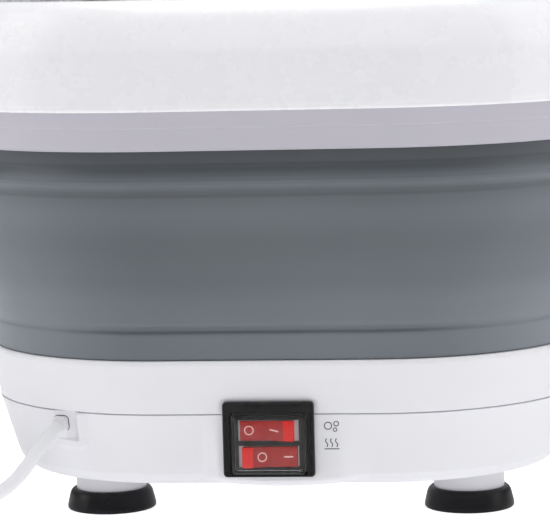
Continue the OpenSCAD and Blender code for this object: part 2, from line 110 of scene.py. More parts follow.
def material(name, col, rough, var=0.04, var_scale=25, rvar=0.06, rscale=60, bump=0.0, bscale=900, wave=0.0,
             wscale=14, metal=0.0, spec=0.5, coat=0.0, coat_rough=0.1, trans=0.0, ior=1.47, sss=0.0, sheen=0.0,
             emit=None, emit_strength=0.0, tint=None, stretch=(1, 1, 1), band=False):
    """Procedural plastic, rubber or metal: mottled colour, uneven gloss, fine grain and a slow moulding wave."""
    m = bpy.data.materials.new(name)
    m.use_nodes = True
    nt = m.node_tree
    b = nt.nodes["Principled BSDF"]
    tc = nt.nodes.new("ShaderNodeTexCoord")
    mp = nt.nodes.new("ShaderNodeMapping")
    mp.inputs["Scale"].default_value = stretch
    nt.links.new(tc.outputs["Object"], mp.inputs["Vector"])

    def noise_node(scale, detail=4, rough_=0.55):
        n = nt.nodes.new("ShaderNodeTexNoise")
        n.inputs["Scale"].default_value = scale
        n.inputs["Detail"].default_value = detail
        n.inputs["Roughness"].default_value = rough_
        nt.links.new(mp.outputs["Vector"], n.inputs["Vector"])
        return n

    n1 = noise_node(var_scale, 5, 0.6)
    ramp = nt.nodes.new("ShaderNodeMix")
    ramp.data_type = "RGBA"
    a = tuple(max(0, c * (1 - var)) for c in col[:3]) + (1,)
    z = tuple(min(1, c * (1 + var)) for c in (tint or col)[:3]) + (1,)
    ramp.inputs[6].default_value = a
    ramp.inputs[7].default_value = z
    nt.links.new(n1.outputs["Fac"], ramp.inputs[0])
    if band:
        # painted light: the mesh's band colour multiplies the base colour, with painted shade under the rim and beside
        # the upper fold bead, a painted highlight on the bead, painted reflections towards the sides and a little
        # random tone
        at = nt.nodes.new("ShaderNodeAttribute")
        at.attribute_name = "band"
        mul = nt.nodes.new("ShaderNodeMix")
        mul.data_type = "RGBA"
        mul.blend_type = "MULTIPLY"
        mul.inputs[0].default_value = 1.0
        nt.links.new(ramp.outputs[2], mul.inputs[6])
        nt.links.new(at.outputs["Color"], mul.inputs[7])
        nt.links.new(mul.outputs[2], b.inputs["Base Color"])
    else:
        nt.links.new(ramp.outputs[2], b.inputs["Base Color"])
    n2 = noise_node(rscale, 6, 0.65)
    mr = nt.nodes.new("ShaderNodeMapRange")
    mr.inputs["From Min"].default_value = 0.3
    mr.inputs["From Max"].default_value = 0.7
    mr.inputs["To Min"].default_value = max(0.02, rough - rvar)
    mr.inputs["To Max"].default_value = min(1.0, rough + rvar)
    nt.links.new(n2.outputs["Fac"], mr.inputs["Value"])
    nt.links.new(mr.outputs["Result"], b.inputs["Roughness"])
    last = None
    for strength, scale, dist, det in ((wave, wscale, 0.0012, 1), (bump, bscale, 0.00012, 3)):
        if strength <= 0:
            continue
        n3 = noise_node(scale, det)
        bp = nt.nodes.new("ShaderNodeBump")
        bp.inputs["Strength"].default_value = strength
        bp.inputs["Distance"].default_value = dist
        nt.links.new(n3.outputs["Fac"], bp.inputs["Height"])
        if last is not None:
            nt.links.new(last.outputs["Normal"], bp.inputs["Normal"])
        last = bp
    if last is not None:
        nt.links.new(last.outputs["Normal"], b.inputs["Normal"])
    b.inputs["Metallic"].default_value = metal
    b.inputs["Specular IOR Level"].default_value = spec
    b.inputs["Coat Weight"].default_value = coat
    b.inputs["Coat Roughness"].default_value = coat_rough
    b.inputs["Transmission Weight"].default_value = trans
    b.inputs["IOR"].default_value = ior
    if sss:
        b.inputs["Subsurface Weight"].default_value = sss
        b.inputs["Subsurface Radius"].default_value = (0.004, 0.0035, 0.003)
        b.inputs["Subsurface Scale"].default_value = 1.0
    b.inputs["Sheen Weight"].default_value = sheen
    if emit:
        b.inputs["Emission Color"].default_value = emit
        b.inputs["Emission Strength"].default_value = emit_strength
    return m


M = {
    "rim_white": material("rim_white", lin(241, 241, 244), 0.27, var=0.012, rvar=0.06, wave=0.10, wscale=11, bump=0.03, bscale=2200, coat=0.18, coat_rough=0.16),
    # painted shade: the rim's underside ring is the same white plastic as rim_white, given a darker, greyer colour for
    # the shade under the overhang
    "rim_underside": material("rim_underside", lin(186, 183, 193), 0.34, var=0.02, rvar=0.05, wave=0.08, bump=0.05, bscale=1800),
    "wall_grey": material("wall_grey", lin(101, 106, 113), 0.44, var=0.05, var_scale=9, rvar=0.08, rscale=22, bump=0.12, bscale=2600, wave=0.2, wscale=16, spec=0.45, tint=lin(108, 115, 120), band=True),
    "base_white": material("base_white", lin(236, 236, 240), 0.38, var=0.012, rvar=0.05, wave=0.08, wscale=13, bump=0.05, bscale=2400),
    "gasket_grey": material("gasket_grey", lin(176, 176, 181), 0.6, bump=0.1),
    "black_rubber": material("black_rubber", lin(22, 22, 24), 0.36, var=0.2, var_scale=60, rvar=0.1, rscale=90, bump=0.3, bscale=1600, spec=0.26, tint=lin(28, 28, 30)),
    "black_plastic": material("black_plastic", lin(20, 20, 21), 0.30, var=0.15, rvar=0.08, bump=0.15, bscale=2600, spec=0.22),
    "clear_cover": material("clear_cover", lin(250, 250, 250), 0.05, var=0.0, rvar=0.03, rscale=120, wave=0.10, wscale=120, trans=1.0, ior=1.24),
    # painted glow: both rocker colours carry an emission; rocker_tip is the same red plastic, brighter and with a
    # stronger emission, as a painted highlight on the raised end of each rocker
    "rocker_red": material("rocker_red", lin(170, 28, 28), 0.28, var=0.2, var_scale=140, rvar=0.08, bump=0.05, spec=0.3, emit=lin(170, 30, 30), emit_strength=0.06, tint=lin(186, 52, 50)),
    "rocker_tip": material("rocker_tip", lin(214, 26, 18), 0.2, var=0.2, var_scale=260, rvar=0.06, spec=0.3, emit=lin(230, 30, 20), emit_strength=0.24),
    # painted glow: the white printed marks carry an emission
    "mark_white": material("mark_white", lin(250, 214, 208), 0.5, bump=0.05, emit=lin(250, 205, 200), emit_strength=0.15),
    "mark_dark": material("mark_dark", lin(52, 53, 57), 0.55, var=0.1, bump=0.05),
    "lamp_amber": material("lamp_amber", lin(255, 150, 90), 0.15, trans=0.6, emit=lin(255, 120, 60), emit_strength=0.4),
    "zinc_screw": material("zinc_screw", lin(196, 198, 202), 0.32, metal=1.0, rvar=0.1, rscale=300, bump=0.2, bscale=1500),
    "steel_pin": material("steel_pin", lin(200, 202, 205), 0.22, metal=1.0, rvar=0.08, bump=0.15, bscale=1200, stretch=(0.08, 1, 1)),
    "brass_tab": material("brass_tab", lin(214, 186, 120), 0.28, metal=1.0, rvar=0.09, rscale=240, bump=0.12),
    "cord_white": material("cord_white", lin(238, 238, 241), 0.42, var=0.015, rvar=0.06, rscale=120, bump=0.12, bscale=1400),
    "tie_black": material("tie_black", lin(38, 38, 40), 0.85, var=0.2, var_scale=700, bump=0.8, bscale=1400, sheen=0.3),
    "nylon_ivory": material("nylon_ivory", lin(228, 222, 200), 0.45, bump=0.1),
    "wire_brown": material("wire_brown", lin(126, 78, 48), 0.4, var=0.1),
    "aluminium_plate": material("aluminium_plate", lin(205, 207, 210), 0.35, metal=1.0, rvar=0.1, bump=0.2, stretch=(0.1, 1, 1)),
    "ceramic_tan": material("ceramic_tan", lin(206, 188, 150), 0.5, var=0.08, bump=0.2),
    "bracket_steel": material("bracket_steel", lin(170, 172, 176), 0.4, metal=0.9, rvar=0.1, bump=0.2),
    "thermostat_black": material("thermostat_black", lin(50, 50, 54), 0.5, bump=0.25),
    "fuse_white": material("fuse_white", lin(228, 228, 224), 0.4, bump=0.1),
    "motor_can": material("motor_can", lin(184, 186, 190), 0.3, metal=1.0, rvar=0.08, bump=0.15),
    "pump_black": material("pump_black", lin(44, 44, 48), 0.45, bump=0.3),
    "hose_clear": material("hose_clear", lin(222, 228, 228), 0.3, trans=0.4, bump=0.05),
    "valve_white": material("valve_white", lin(232, 232, 232), 0.3, bump=0.05),
    "bar_white": material("bar_white", lin(228, 229, 233), 0.28, var=0.02, bump=0.05, wave=0.05),
    "roller_blue": material("roller_blue", lin(176, 188, 202), 0.38, var=0.04, bump=0.15, bscale=1500, wave=0.05),
}

# ---------------------------------------------------------------- mesh helpers


def new_mesh(name, verts, faces, mat, sharp=34, recalc=True):
    me = bpy.data.meshes.new(name)
    me.from_pydata([(x * MM, y * MM, z * MM) for x, y, z in verts], [], faces)
    me.validate()
    bm = bmesh.new()
    bm.from_mesh(me)
    bmesh.ops.remove_doubles(bm, verts=bm.verts, dist=1e-7)
    if recalc:
        bmesh.ops.recalc_face_normals(bm, faces=bm.faces)
    bm.to_mesh(me)
    bm.free()
    me.shade_smooth()
    me.set_sharp_from_angle(angle=math.radians(sharp))
    me.materials.append(M[mat])
    ob = bpy.data.objects.new(name, me)
    bpy.context.scene.collection.objects.link(ob)
    return ob


def grid_faces(rows, cols, close_rows, close_cols, base=0):
    faces = []
    for i in range(rows if close_rows else rows - 1):
        for j in range(cols if close_cols else cols - 1):
            a, b = i * cols, ((i + 1) % rows) * cols
            k = (j + 1) % cols
            faces.append((base + a + j, base + a + k, base + b + k, base + b + j))
    return faces


def fillet(pts, radii, closed=True, n=5):
    """Rounds a polyline's corners; a radius of 0 keeps a corner sharp."""
    out = []
    m = len(pts)
    for i, p in enumerate(pts):
        r = radii[i] if isinstance(radii, (list, tuple)) else radii
        if r <= 0 or (not closed and i in (0, m - 1)):
            out.append(tuple(p))
            continue
        a, b, c = Vector(pts[i - 1]), Vector(p), Vector(pts[(i + 1) % m])
        u, v = (a - b), (c - b)
        lu, lv = u.length, v.length
        if lu < 1e-6 or lv < 1e-6:
            out.append(tuple(p))
            continue
        u, v = u / lu, v / lv
        half = math.acos(max(-1, min(1, u.dot(v)))) / 2
        if half < 0.05 or abs(half - math.pi / 2) < 0.01:
            out.append(tuple(p))
            continue
        t = min(r / math.tan(half), lu * 0.46, lv * 0.46)
        s, e = b + u * t, b + v * t
        for k in range(n + 1):
            w = k / n
            q = s * (1 - w) ** 2 + b * 2 * w * (1 - w) + e * w * w
            out.append(tuple(q))
    return out


def bez(a, b, c, d, n, skip=0):
    out = []
    for i in range(skip, n + 1):
        t = i / n
        s = 1 - t
        out.append(tuple(a[k] * s ** 3 + 3 * b[k] * s * s * t + 3 * c[k] * s * t * t + d[k] * t ** 3 for k in (0, 1)))
    return out


def offset_line(p, t):
    """The line p moved by t to its right-hand side."""
    out = []
    m = len(p)
    for i in range(m):
        d1 = (Vector(p[max(i, 1)]) - Vector(p[max(i - 1, 0)])).normalized()
        d2 = (Vector(p[min(i + 1, m - 1)]) - Vector(p[min(i, m - 2)])).normalized()
        n1, n2 = Vector((d1[1], -d1[0])), Vector((d2[1], -d2[0]))
        mm = (n1 + n2).normalized()
        out.append(tuple(Vector(p[i]) + mm * t / max(0.3, mm.dot(n1))))
    return out


def dense(p, step):
    """Adds points so that no span of the line is longer than step."""
    out = [tuple(p[0])]
    for a, b in zip(p, p[1:]):
        n = max(1, math.ceil(math.hypot(b[0] - a[0], b[1] - a[1]) / step))
        out += [(mix(a[0], b[0], k / n), mix(a[1], b[1], k / n)) for k in range(1, n + 1)]
    return out


# columns round the outline: base point and direction, counter-clockwise from the front left
def outline(front=44, corner=60, side=50, rear=30):
    cols = []
    cols += [(mix(-CX, CX, i / front), -CY, 0, -1) for i in range(front)]

    def arc(cx, cy, a0):
        return [(cx, cy, math.cos(math.radians(a0 + 90 * i / corner)), math.sin(math.radians(a0 + 90 * i / corner))) for i in range(corner)]
    cols += arc(CX, -CY, -90)
    cols += [(CX, mix(-CY, CY, i / side), 1, 0) for i in range(side)]
    cols += arc(CX, CY, 0)
    cols += [(mix(CX, -CX, i / rear), CY, 0, 1) for i in range(rear)]
    cols += arc(-CX, CY, 90)
    cols += [(-CX, mix(CY, -CY, i / side), -1, 0) for i in range(side)]
    cols += arc(-CX, -CY, 180)
    return cols


def around(profile, cols, shape=None):
    """Points of the profile carried round the outline; shape may return a changed (r, z)."""
    verts = []
    for r, z in profile:
        for bx, by, nx, ny in cols:
            if shape:
                rr, zz = shape(r, z, bx + r * nx, by + r * ny, nx, ny)
            else:
                rr, zz = r, z
            verts.append((bx + rr * nx, by + rr * ny, zz))
    return verts


def lathe(profile, at, n=72, closed=True):
    """A closed profile (radius, height) turned about a vertical axis."""
    verts = []
    for r, z in profile:
        for j in range(n):
            a = 2 * math.pi * j / n
            verts.append((at[0] + r * math.cos(a), at[1] + r * math.sin(a), z))
    return verts, grid_faces(len(profile), n, closed, True)


def rrect(w, h, r, n=6):
    """Rounded rectangle loop about the origin, counter-clockwise."""
    out = []
    for cx, cy, a0 in ((w / 2 - r, h / 2 - r, 0), (-w / 2 + r, h / 2 - r, 90), (-w / 2 + r, -h / 2 + r, 180), (w / 2 - r, -h / 2 + r, 270)):
        for k in range(n + 1):
            a = math.radians(a0 + 90 * k / n)
            out.append((cx + r * math.cos(a), cy + r * math.sin(a)))
    return out


def join(parts):
    """Several (verts, faces) as one."""
    verts, faces = [], []
    for v, f in parts:
        base = len(verts)
        verts += v
        faces += [tuple(base + k for k in q) for q in f]
    return verts, faces


def ribbon(line, width, surf, closed=False, lift=0.10, sink=0.12):
    """A thin raised band along a 2-D line on a surface: surf(u, v, out) is a point out millimetres off it."""
    m = len(line)
    verts = []
    for i in range(m):
        a = Vector(line[i - 1] if (closed or i) else line[0])
        b = Vector(line[(i + 1) % m] if (closed or i < m - 1) else line[-1])
        d = (b - a).normalized()
        nrm = Vector((-d[1], d[0])) * width / 2
        p = Vector(line[i])
        for q, out in ((p + nrm, -sink), (p + nrm * 0.86, lift), (p - nrm * 0.86, lift), (p - nrm, -sink)):
            verts.append(surf(q[0], q[1], out))
    faces = grid_faces(m, 4, closed, True)
    if not closed:
        faces += [(0, 1, 2, 3), tuple(4 * (m - 1) + k for k in (3, 2, 1, 0))]
    return verts, faces


def circle(cx, cy, r, n=28):
    return [(cx + r * math.cos(2 * math.pi * k / n), cy + r * math.sin(2 * math.pi * k / n)) for k in range(n)]


# ---------------------------------------------------------------- cord

GA = math.radians(-15)
GN = (math.sin(GA), -math.cos(GA))
GT = (math.cos(GA), math.sin(GA))
GO = (-86.0, -161.0)


GX = -1.6                              # the gland's place along the pocket


def gland_at(d, z):
    return (GO[0] + GX * GT[0] + d * GN[0], GO[1] + GX * GT[1] + d * GN[1], z)


CORD_D, CORD_Z = 5.6, 3.6
TILT = math.radians(10)                # the cord leaves its grommet pointing slightly down
GAX = (GN[0] * math.cos(TILT), GN[1] * math.cos(TILT), -math.sin(TILT))
GUP = (GN[0] * math.sin(TILT), GN[1] * math.sin(TILT), math.cos(TILT))
EXIT = gland_at(0.6, 46)
ROUTE = [tuple(EXIT[k] - 3.2 * GAX[k] for k in range(3)), EXIT, (-89.7, -167.2, 44.1), (-92.5, -172.2, 40.8), (-95.8, -175.6, 36.1), (-99.3, -177.1, 30.7),
         (-104.3, -177.4, 25.1), (-110, -177.4, 21.1), (-118, -177.2, 16.9), (-127, -176.8, 12.3), (-136, -176.3, 8.1), (-145, -175.7, 5.1),
         (-154, -175.2, 3.75), (-163, -175, CORD_Z), (-172, -175, CORD_Z)]
TAIL = [(-188, -177, 8.2), (-203, -170, 5.2), (-214.5, -157.5, CORD_Z), (-220.5, -143.5, CORD_Z), (-222, -129, CORD_Z), (-222, -115, 5), (-222, -100, 7.4),
        (-222, -86, 9), (-222, -78, 9)]
COIL_C = (-172.0, -133.0)


def catmull(p, n):
    out = []
    for i in range(len(p) - 1):
        a, b, c, d = (Vector(p[max(i - 1, 0)]), Vector(p[i]), Vector(p[i + 1]), Vector(p[min(i + 2, len(p) - 1)]))
        for k in range(n):
            t = k / n
            out.append(0.5 * (2 * b + (c - a) * t + (2 * a - 5 * b + 4 * c - d) * t * t + (3 * b - a - 3 * c + d) * t ** 3))
    out.append(Vector(p[-1]))
    return out


def coil_point(tau):
    """Six turns: a flat spiral inwards, a slow climb on the inside, and a second spiral outwards on top of the first."""
    pitch, turn_at, eps = 5.75, 3.2, 0.06
    r = 23.6 + pitch * (math.sqrt((tau - turn_at) ** 2 + eps * eps) - eps)
    z = CORD_Z + 5.75 * smooth((tau - turn_at + 0.3) / 0.6)
    r += 6.9 * smooth((tau - 5.93) / 0.15)
    z -= 1.0 * smooth((tau - 6.0) / 0.08)
    a = math.radians(-90 - 360 * tau)
    return Vector((COIL_C[0] + r * math.cos(a), COIL_C[1] + r * math.sin(a), z))


def resample(pts, step):
    out = [pts[0].copy()]
    need = step
    for a, b in zip(pts, pts[1:]):
        seg = (b - a).length
        while seg >= need:
            a = a + (b - a) * (need / seg)
            out.append(a.copy())
            seg = (b - a).length
            need = step
        need -= seg
    out.append(pts[-1].copy())
    return out


def cord_points():
    pts = catmull(ROUTE, 10)[:-1]
    n = 680
    pts += [coil_point(6.035 * i / n) for i in range(n + 1)]
    pts += catmull([tuple(coil_point(6.02)), tuple(coil_point(6.035))] + TAIL, 10)[11:]
    pts = resample(pts, 2.6)
    for _ in range(4):
        q = [p.copy() for p in pts]
        for i in range(3, len(pts) - 3):
            q[i] = pts[i] * 0.5 + (pts[i - 1] + pts[i + 1]) * 0.25
        pts = q
    return pts


def make_cord():
    pts = cord_points()
    cu = bpy.data.curves.new("power_cord_flex", "CURVE")
    cu.dimensions = "3D"
    cu.bevel_depth = CORD_D / 2 * MM
    cu.bevel_resolution = 7
    cu.use_fill_caps = True
    sp = cu.splines.new("POLY")
    sp.points.add(len(pts) - 1)
    for q, p in zip(sp.points, pts):
        q.co = (p[0] * MM, p[1] * MM, p[2] * MM, 1)
    sp.use_smooth = True
    cu.materials.append(M["cord_white"])
    ob = bpy.data.objects.new("power_cord_flex", cu)
    bpy.context.scene.collection.objects.link(ob)
    length = sum((b - a).length for a, b in zip(pts, pts[1:]))
    return ob, length, pts


def loops_mesh(loops, cap_first=True, cap_last=True, close=False):
    """Loops with the same number of points, joined in order."""
    n = len(loops[0])
    verts = [p for lp in loops for p in lp]
    faces = grid_faces(len(loops), n, close, True)
    if not close:
        if cap_first:
            faces.append(tuple(range(n - 1, -1, -1)))
        if cap_last:
            faces.append(tuple((len(loops) - 1) * n + k for k in range(n)))
    return verts, faces


def make_plug():
    px, py, pz = -222.0, -86.0, 9.0

    def loop(y, w, h, r):
        return [(px + x, py + y, pz + z) for x, z in rrect(w, h, r, 8)]
    lp = []
    # ribbed strain relief
    for k in range(7):
        y0 = 3.2 * k
        d = mix(8.0, 10.6, k / 6)
        for dy, dd in ((0.2, -0.5), (0.5, 0), (2.0, 0.1), (2.3, -0.4), (2.6, -1.3), (3.0, -1.3)):
            lp.append(loop(y0 + dy, d + dd, d + dd, (d + dd) / 2 - 0.01))
    lp += [loop(22.9, 11, 11, 5.4), loop(23.6, 12.6, 12.2, 5.8), loop(24.6, 15.4, 14, 6), loop(27, 18.6, 15.6, 6), loop(30, 21.6, 17, 6),
           loop(33, 23.4, 17.8, 5.6), loop(36, 24, 18, 5.2), loop(42, 23.2, 17.6, 5), loop(46, 23.6, 17.8, 4.6), loop(48.8, 24, 18, 4.2),
           loop(49.7, 23.7, 17.7, 4), loop(50, 23, 17, 3.8)]
    v, f = loops_mesh(lp)
    ob = new_mesh("plug_cover", v, f, "cord_white", sharp=50)
    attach(ob, "base")
    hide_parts("plug_body")
    return ob


def make_grommet():
    """Rounded square grommet round the cord, seated in the pocket's back wall."""
    def loop(d, w, r):
        out = []
        for u, v in rrect(w, w, r, 5):
            out.append((EXIT[0] + GT[0] * u + GAX[0] * (d - 0.6) + GUP[0] * v, EXIT[1] + GT[1] * u + GAX[1] * (d - 0.6) + GUP[1] * v, EXIT[2] + GAX[2] * (d - 0.6) + GUP[2] * v))
        return out
    # painted shade: a thin black ring round the grommet's seat stands in for the shadow in the gap between grommet and
    # back wall
    gap = [loop(-2.6, 6.7, 1.9), loop(-1.8, 6.7, 1.9), loop(-1.68, 6.55, 1.8)]
    v, f = loops_mesh(gap)
    gap_shade_ring = new_mesh("grommet_gap_shade", v, f, "black_rubber", sharp=60)
    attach(gap_shade_ring, "base")
    lp = [loop(-2.5, 6.2, 1.5), loop(-0.4, 6.2, 1.5), loop(0.2, 6.15, 1.7), loop(0.8, 6.02, 2.1), loop(1.5, 5.88, 2.6), loop(2.2, 5.76, 2.85), loop(2.3, 5.62, 2.8),
          loop(-2.5, 5.62, 2.8)]
    v, f = loops_mesh(lp, close=True)
    ob = new_mesh("cord_grommet", v, f, "cord_white", sharp=60)
    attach(ob, "base")
    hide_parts("cord_gland")
    return ob


plug = make_plug()
grommet = make_grommet()
cord, cord_len, cord_pts = make_cord()
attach(cord, "base")
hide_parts("power_cord", "power_cord_tail", "power_cord_coil")

# ---------------------------------------------------------------- rim


def make_rim():
    top = bez((88.3, 214.4), (88.1, 217.2), (89.2, 219), (91.4, 219), 12)
    top += bez((91.4, 219), (97.2, 219), (100.9, 209.5), (103.2, 200.2), 30, 1)
    line = [(88.45, 212.9)] + top
    line += dense([(103.2, 200.2), (103.5, 199.0), (104.65, 178.9)], 2.2)[1:]
    inner = offset_line(line, 2.5)
    lip = [(104.75, 178.2), (105.0, 177.8), (105.15, 177.3), (105.2, 176.8), (105.12, 176.3), (104.9, 175.9), (104.55, 175.62), (104.1, 175.52),
           (103.5, 175.55), (102.95, 175.75), (102.55, 176.1), (102.35, 176.6), (102.3, 177.3)]
    hem = [(90.75, 212.95), (90.4, 212.7), (89.7, 212.62), (88.9, 212.66)]
    prof = line + lip + inner[::-1] + hem
    cols = outline(44, 84, 60, 40)

    def shape(r, z, x, y, nx, ny):
        # the moulding is never dead flat
        w = 0.10 * noise.noise(Vector((x * 0.018, y * 0.018, z * 0.03))) + 0.03 * noise.noise(Vector((x * 0.06, y * 0.06, z * 0.08)))
        return (r + min(0, w) if r > 104.5 else r + w), z
    v = around(prof, cols, shape)
    ob = new_mesh("rim_shell", v, grid_faces(len(prof), len(cols), True, True), "rim_white", sharp=50)
    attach(ob, "rim")
    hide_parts("rim_frame")

    ring = [(101.9, 184), (101.9, 176.2), (99.6, 169.0), (98.95, 168.55), (98.75, 167.9), (96.1, 160.3), (95.2, 159.4), (94.75, 159.5),
            (94.7, 172), (96.1, 172), (96.1, 165.2), (99.9, 176), (99.9, 184)]
    ring = fillet(ring, [0.3, 0.6, 0.5, 0.2, 0.4, 0.6, 0.3, 0.1, 0.2, 0.2, 0.6, 0.6, 0.3], n=4)
    ring = dense(ring + [ring[0]], 2.0)[:-1]
    v = around(ring, cols)
    # painted shade: the ring uses the darker rim_underside colour
    ob = new_mesh("rim_under_ring", v, grid_faces(len(ring), len(cols), True, True), "rim_underside", sharp=40)
    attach(ob, "rim")
    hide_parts("rim_clamp_ring")


make_rim()

# ---------------------------------------------------------------- folding wall


def make_wall():
    outer = [(79.1, 64.3), (79.1, 73.9), (79.3, 74.15), (80.9, 74.15), (81.25, 74.5), (81.6, 77), (82.35, 84.3), (82.2, 85.1), (81.3, 85.7),
             (81.2, 86.5), (81.6, 87.3), (82.5, 88.2), (83.15, 89.8), (92.3, 140.6), (92.35, 142.0), (92.7, 143.2), (94.0, 144.8),
             (94.75, 146.0), (95.0, 147.4), (94.75, 149.0), (93.9, 151.0), (93.1, 152.6), (92.95, 154.4), (93.5, 160), (94.25, 162),
             (94.35, 196), (93.6, 201), (91.8, 206), (90.85, 211.6), (90.6, 212.3)]
    outer = dense(fillet(outer, [0, 0.4, 0.1, 0.4, 0.3] + [0.8] * 24 + [0], closed=False, n=3), 1.5)
    inner = [(88.9, 212.3), (89.05, 211.6), (90.0, 206), (91.8, 200.8), (92.5, 196), (92.45, 162), (91.75, 158), (91.2, 154.2), (91.5, 151.8), (92.6, 148.8),
             (92.75, 147.4), (92.2, 146.2), (91.0, 144.8), (90.6, 142.8), (81.5, 89.9), (80.8, 88.6), (79.9, 87.2), (79.6, 86), (80.0, 84.8),
             (79.9, 80), (79.5, 76.6), (78.9, 75.6), (77.7, 75.0), (77.4, 74.2), (77.4, 64.3), (77.9, 64.0), (78.7, 64.0)]
    inner = dense(fillet(inner, [0.3] + [0.8] * 20 + [0.6, 0.6, 0.6, 0.3, 0.1, 0.1], closed=False, n=3), 1.5)
    prof = outer + inner
    cols = outline(50, 72, 64, 36)

    def shape(r, z, x, y, nx, ny):
        # the soft wall is slightly slack between its fold lines
        free = smooth((z - 88) / 8) * smooth((141 - z) / 8)
        s = Vector((x * 0.022, y * 0.022, z * 0.035))
        w = 0.38 * noise.noise(s) + 0.14 * noise.noise(s * 3.1)
        band = 0.10 * noise.noise(Vector((x * 0.03, y * 0.03, 3.0)))
        if 84.5 < z < 88.6 and r > 80.6:
            # the lower fold is crisp along the front and shallow round the corners
            r = mix(r, 82.45 + (z - 85) * 0.1, 0.75 * smooth((abs(nx) - 0.12) / 0.5))
        up = smooth((z - 160) / 8)
        return r + (w * free + band * (1 - up) * (1 if z > 75 else 0)) - 0.0 * up, z
    v = around(prof, cols, shape)
    ob = new_mesh("wall_skin", v, grid_faces(len(prof), len(cols), True, True), "wall_grey", sharp=60)
    # band attribute: painted shade, painted highlight and painted reflection baked per vertex as a colour multiplier
    at = ob.data.attributes.new("band", "FLOAT_COLOR", "POINT")
    # painted light by height: dark painted shade under the rim above z 154, darker grooves either side of the upper
    # fold bead with a painted highlight on it, and the wall lighter towards the bottom
    painted_light_steps = [(60, 0.95), (76, 1.04), (84, 1.06), (86, 1.02), (87.5, 1.04), (90, 1.06), (96, 1.02), (108, 0.84), (122, 0.77), (134, 0.88), (140, 0.78), (143, 0.62),
             (146, 0.86), (149, 0.89), (151.5, 0.68), (154, 0.49), (162, 0.45), (220, 0.5)]
    for i, q in enumerate(ob.data.vertices):
        x, y, z = (c / MM for c in q.co)
        m = painted_light_steps[-1][1]
        for (z0, m0), (z1, m1) in zip(painted_light_steps, painted_light_steps[1:]):
            if z0 <= z < z1:
                m = mix(m0, m1, smooth((z - z0) / (z1 - z0)))
                break
        # painted reflection: lighter towards the sides and corners, less so higher up; the noise term adds random tone
        side = smooth((abs(x) - 50) / 75) * (1 - 0.5 * smooth((z - 95) / 50))
        m *= 1 + 0.34 * side + 0.10 * noise.noise(Vector((x * 0.012, y * 0.012, z * 0.02)))
        at.data[i].color = (m, m * 1.005, m * 1.01, 1)
    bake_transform(ob)
    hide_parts("wall_lower_band", "wall_fold_panel", "wall_upper_band")


make_wall()

# ---------------------------------------------------------------- base


def cap_cols(r, cols, z):
    return [(bx + r * nx, by + r * ny, z) for bx, by, nx, ny in cols]


def make_tub():
    line = [(77.0, 55.0), (77.0, 52.15), (79.75, 52.15), (80.05, 52.5), (82.5, 72.1), (82.35, 73.4), (81.9, 74), (79.35, 74), (79.2, 73.8), (79.2, 61.8),
            (78.5, 59.8), (77.4, 58.6), (76, 58)]
    line = fillet(line, [0.1, 0.1, 0.15, 0.2, 0.5, 0.4, 0.2, 0.1, 0.1, 0.9, 0.9, 0.6, 0.5], closed=False, n=4)
    prof = dense([(2.0, 55.0)] + line[:1], 12) + dense(line, 1.6)[1:] + dense([line[-1], (2.0, 58.0)], 12)[1:]
    cols = outline(88, 72, 60, 40)

    def shape(r, z, x, y, nx, ny):
        if r > 79.5 and y < -CY and abs(x) < 20:
            k = smooth((19.4 - abs(x)) / 0.9) * smooth((57.9 - z) / 0.7)
            r = mix(r, min(r, 79.95), k)
        if 74 > z > 53 and r > 79.5:
            r += 0.05 * noise.noise(Vector((x * 0.03, y * 0.03, z * 0.05)))
        return r, z
    v = around(prof, cols, shape)
    n = len(cols)
    f = grid_faces(len(prof), n, False, True)
    f.append(tuple(range(n)))
    f.append(tuple((len(prof) - 1) * n + k for k in range(n)))
    parts = [(v, f)]
    spots = [(m * x, y) for x in range(22, 71, 12) for y in list(range(48, 105, 14)) + list(range(-76, -105, -14)) for m in (-1, 1)]
    dome = [(3.0, -0.5), (3.0, 0.0), (2.85, 0.25), (2.6, 0.8), (2.2, 1.4), (1.7, 1.85), (1.1, 2.15), (0.5, 2.28)]
    for sx, sy in spots:
        dv = []
        for r, z in dome:
            dv += [(sx + r * math.cos(math.pi * 2 * k / 20), sy + r * math.sin(math.pi * 2 * k / 20), 58 + z) for k in range(20)]
        df = grid_faces(len(dome), 20, False, True)
        df.append(tuple(range(20)))
        df.append(tuple((len(dome) - 1) * 20 + k for k in range(20)))
        parts.append((dv, df))
    v, f = join(parts)
    ob = new_mesh("tub_shell", v, f, "base_white", sharp=38)
    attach(ob, "base")
    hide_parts("tub")


make_tub()

COVER = [(64.5, 21), (67.5, 21.7), (70.2, 23.5), (72.2, 26.2), (73.4, 29.6), (80, SEAM - 0.25)]


def pad_weight(x, z):
    """How far the swelling under the switch stands out, 0 to 1."""
    sx = smooth((x + 29) / 8.5) if x < 0 else smooth((42 - x) / 15)
    z0 = 21.0 + 1.9 * ((x - 5) / 27) ** 2
    t = (z - z0) / 4.4
    sz = 0 if t <= 0 else (1 if t >= 1 else math.sqrt(max(0, 1 - (1 - t) ** 2)))
    return sx * sz


def cover_r(x, z, r):
    return max(r, mix(r, 80.0, pad_weight(x, z)))


def line_r(z):
    for a, b in zip(COVER, COVER[1:]):
        if a[1] <= z <= b[1]:
            return mix(a[0], b[0], (z - a[1]) / (b[1] - a[1]))
    return COVER[-1][0]


